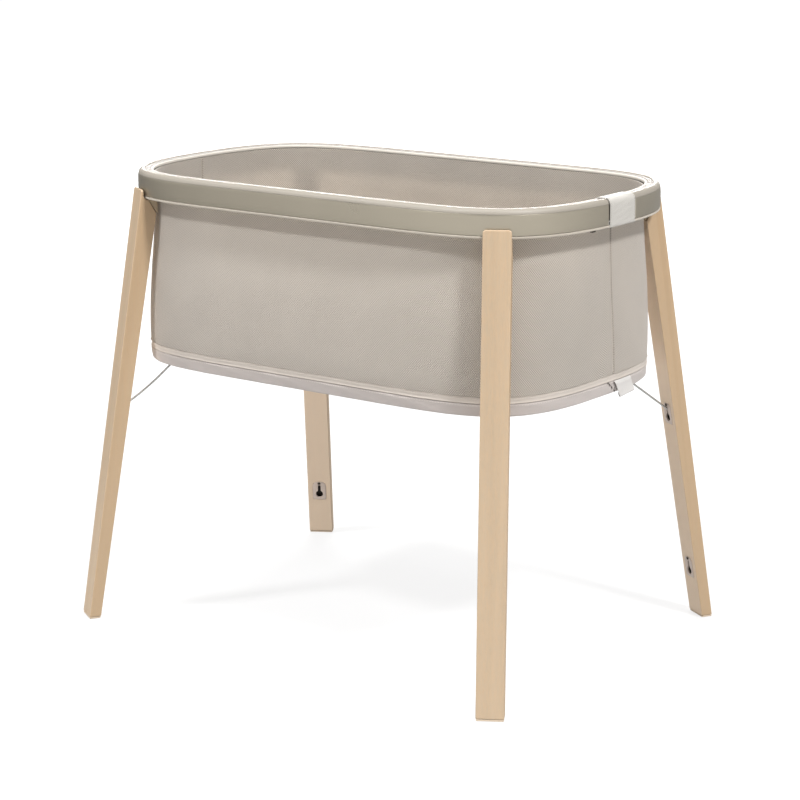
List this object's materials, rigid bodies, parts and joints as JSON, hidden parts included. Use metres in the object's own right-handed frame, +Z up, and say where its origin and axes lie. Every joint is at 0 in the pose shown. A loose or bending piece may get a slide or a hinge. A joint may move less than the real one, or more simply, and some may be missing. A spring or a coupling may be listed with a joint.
{
  "type": "bassinet on stand",
  "caption": "Oval bassinet with a mesh fabric basket hung in a rounded rim on splayed tapered wooden legs, held taut by sprung steel stays.",
  "frame": {"origin": "on the floor under the centre of the rim", "axes": "+X along the long side towards the end with the strap, +Y across towards the back, +Z up"},
  "size_m": [0.8114, 0.6102, 0.7],
  "materials": {
    "beech": "clear matt lacquer",
    "foot_pad": "matt grey",
    "plate_plastic": "fine satin",
    "screw_steel": "dark zinc",
    "stay_steel": "bare spring steel",
    "lug_plastic": "moulded",
    "rim_plastic": "satin off-white",
    "tape_fabric": "woven tape",
    "band_plastic": "satin taupe",
    "lip_fabric": "folded edge binding",
    "bracket_plastic": "moulded taupe",
    "strap_fabric": "plain weave",
    "mesh_fabric": "breathable spacer mesh",
    "hem_fabric": "stitched hem",
    "base_fabric": "plain weave",
    "board_wood": "thin board",
    "mattress_fabric": "quilted cotton cover"
  },
  "bodies": {
    "bassinet": {"rim_frame": "rim_plastic", "rim_top_tape": "tape_fabric", "rim_inner_piping": "tape_fabric", "rim_lip": "lip_fabric", "rim_band": "band_plastic", "rim_strap": "strap_fabric", "mesh_panel_back": "mesh_fabric", "mesh_panel_front": "mesh_fabric", "end_seam_right": "hem_fabric", "end_seam_left": "hem_fabric", "wall_hem": "hem_fabric", "base_tray": "base_fabric", "floor_board": "board_wood", "base_tab": "strap_fabric", "leg_front_right": "beech", "foot_pad_front_right": "foot_pad", "leg_bracket_front_right": "bracket_plastic", "keyhole_plate_upper_front_right": "plate_plastic", "plate_screw_upper_front_right": "screw_steel", "keyhole_plate_lower_front_right": "plate_plastic", "plate_screw_lower_front_right": "screw_steel", "stay_lug_front_right": "lug_plastic", "leg_front_left": "beech", "foot_pad_front_left": "foot_pad", "leg_bracket_front_left": "bracket_plastic", "keyhole_plate_upper_front_left": "plate_plastic", "plate_screw_upper_front_left": "screw_steel", "keyhole_plate_lower_front_left": "plate_plastic", "plate_screw_lower_front_left": "screw_steel", "stay_lug_front_left": "lug_plastic", "leg_back_right": "beech", "foot_pad_back_right": "foot_pad", "leg_bracket_back_right": "bracket_plastic", "keyhole_plate_upper_back_right": "plate_plastic", "plate_screw_upper_back_right": "screw_steel", "keyhole_plate_lower_back_right": "plate_plastic", "plate_screw_lower_back_right": "screw_steel", "stay_lug_back_right": "lug_plastic", "leg_back_left": "beech", "foot_pad_back_left": "foot_pad", "leg_bracket_back_left": "bracket_plastic", "keyhole_plate_upper_back_left": "plate_plastic", "plate_screw_upper_back_left": "screw_steel", "keyhole_plate_lower_back_left": "plate_plastic", "plate_screw_lower_back_left": "screw_steel", "stay_lug_back_left": "lug_plastic"},
    "mattress": {"mattress": "mattress_fabric"},
    "stay_front_right": {"stay_front_right": "stay_steel"},
    "stay_front_left": {"stay_front_left": "stay_steel"},
    "stay_back_right": {"stay_back_right": "stay_steel"},
    "stay_back_left": {"stay_back_left": "stay_steel"}
  },
  "joints": [
    {"name": "mattress_lift", "type": "slide", "parent": "bassinet", "child": "mattress", "axis": [0, 0, 1], "range_m": [0, 0.3]},
    {"name": "stay_swing_front_right", "type": "hinge", "parent": "bassinet", "child": "stay_front_right", "pos_m": [0.30219, -0.16464, 0.4001], "axis": [0.8607, 0.509, 0], "range_deg": [0, 130]},
    {"name": "stay_swing_front_left", "type": "hinge", "parent": "bassinet", "child": "stay_front_left", "pos_m": [-0.30219, -0.16464, 0.4001], "axis": [0.8607, -0.509, 0], "range_deg": [0, 130]},
    {"name": "stay_swing_back_right", "type": "hinge", "parent": "bassinet", "child": "stay_back_right", "pos_m": [0.30219, 0.16464, 0.4001], "axis": [-0.8607, 0.509, 0], "range_deg": [0, 130]},
    {"name": "stay_swing_back_left", "type": "hinge", "parent": "bassinet", "child": "stay_back_left", "pos_m": [-0.30219, 0.16464, 0.4001], "axis": [-0.8607, -0.509, 0], "range_deg": [0, 130]}
  ]
}
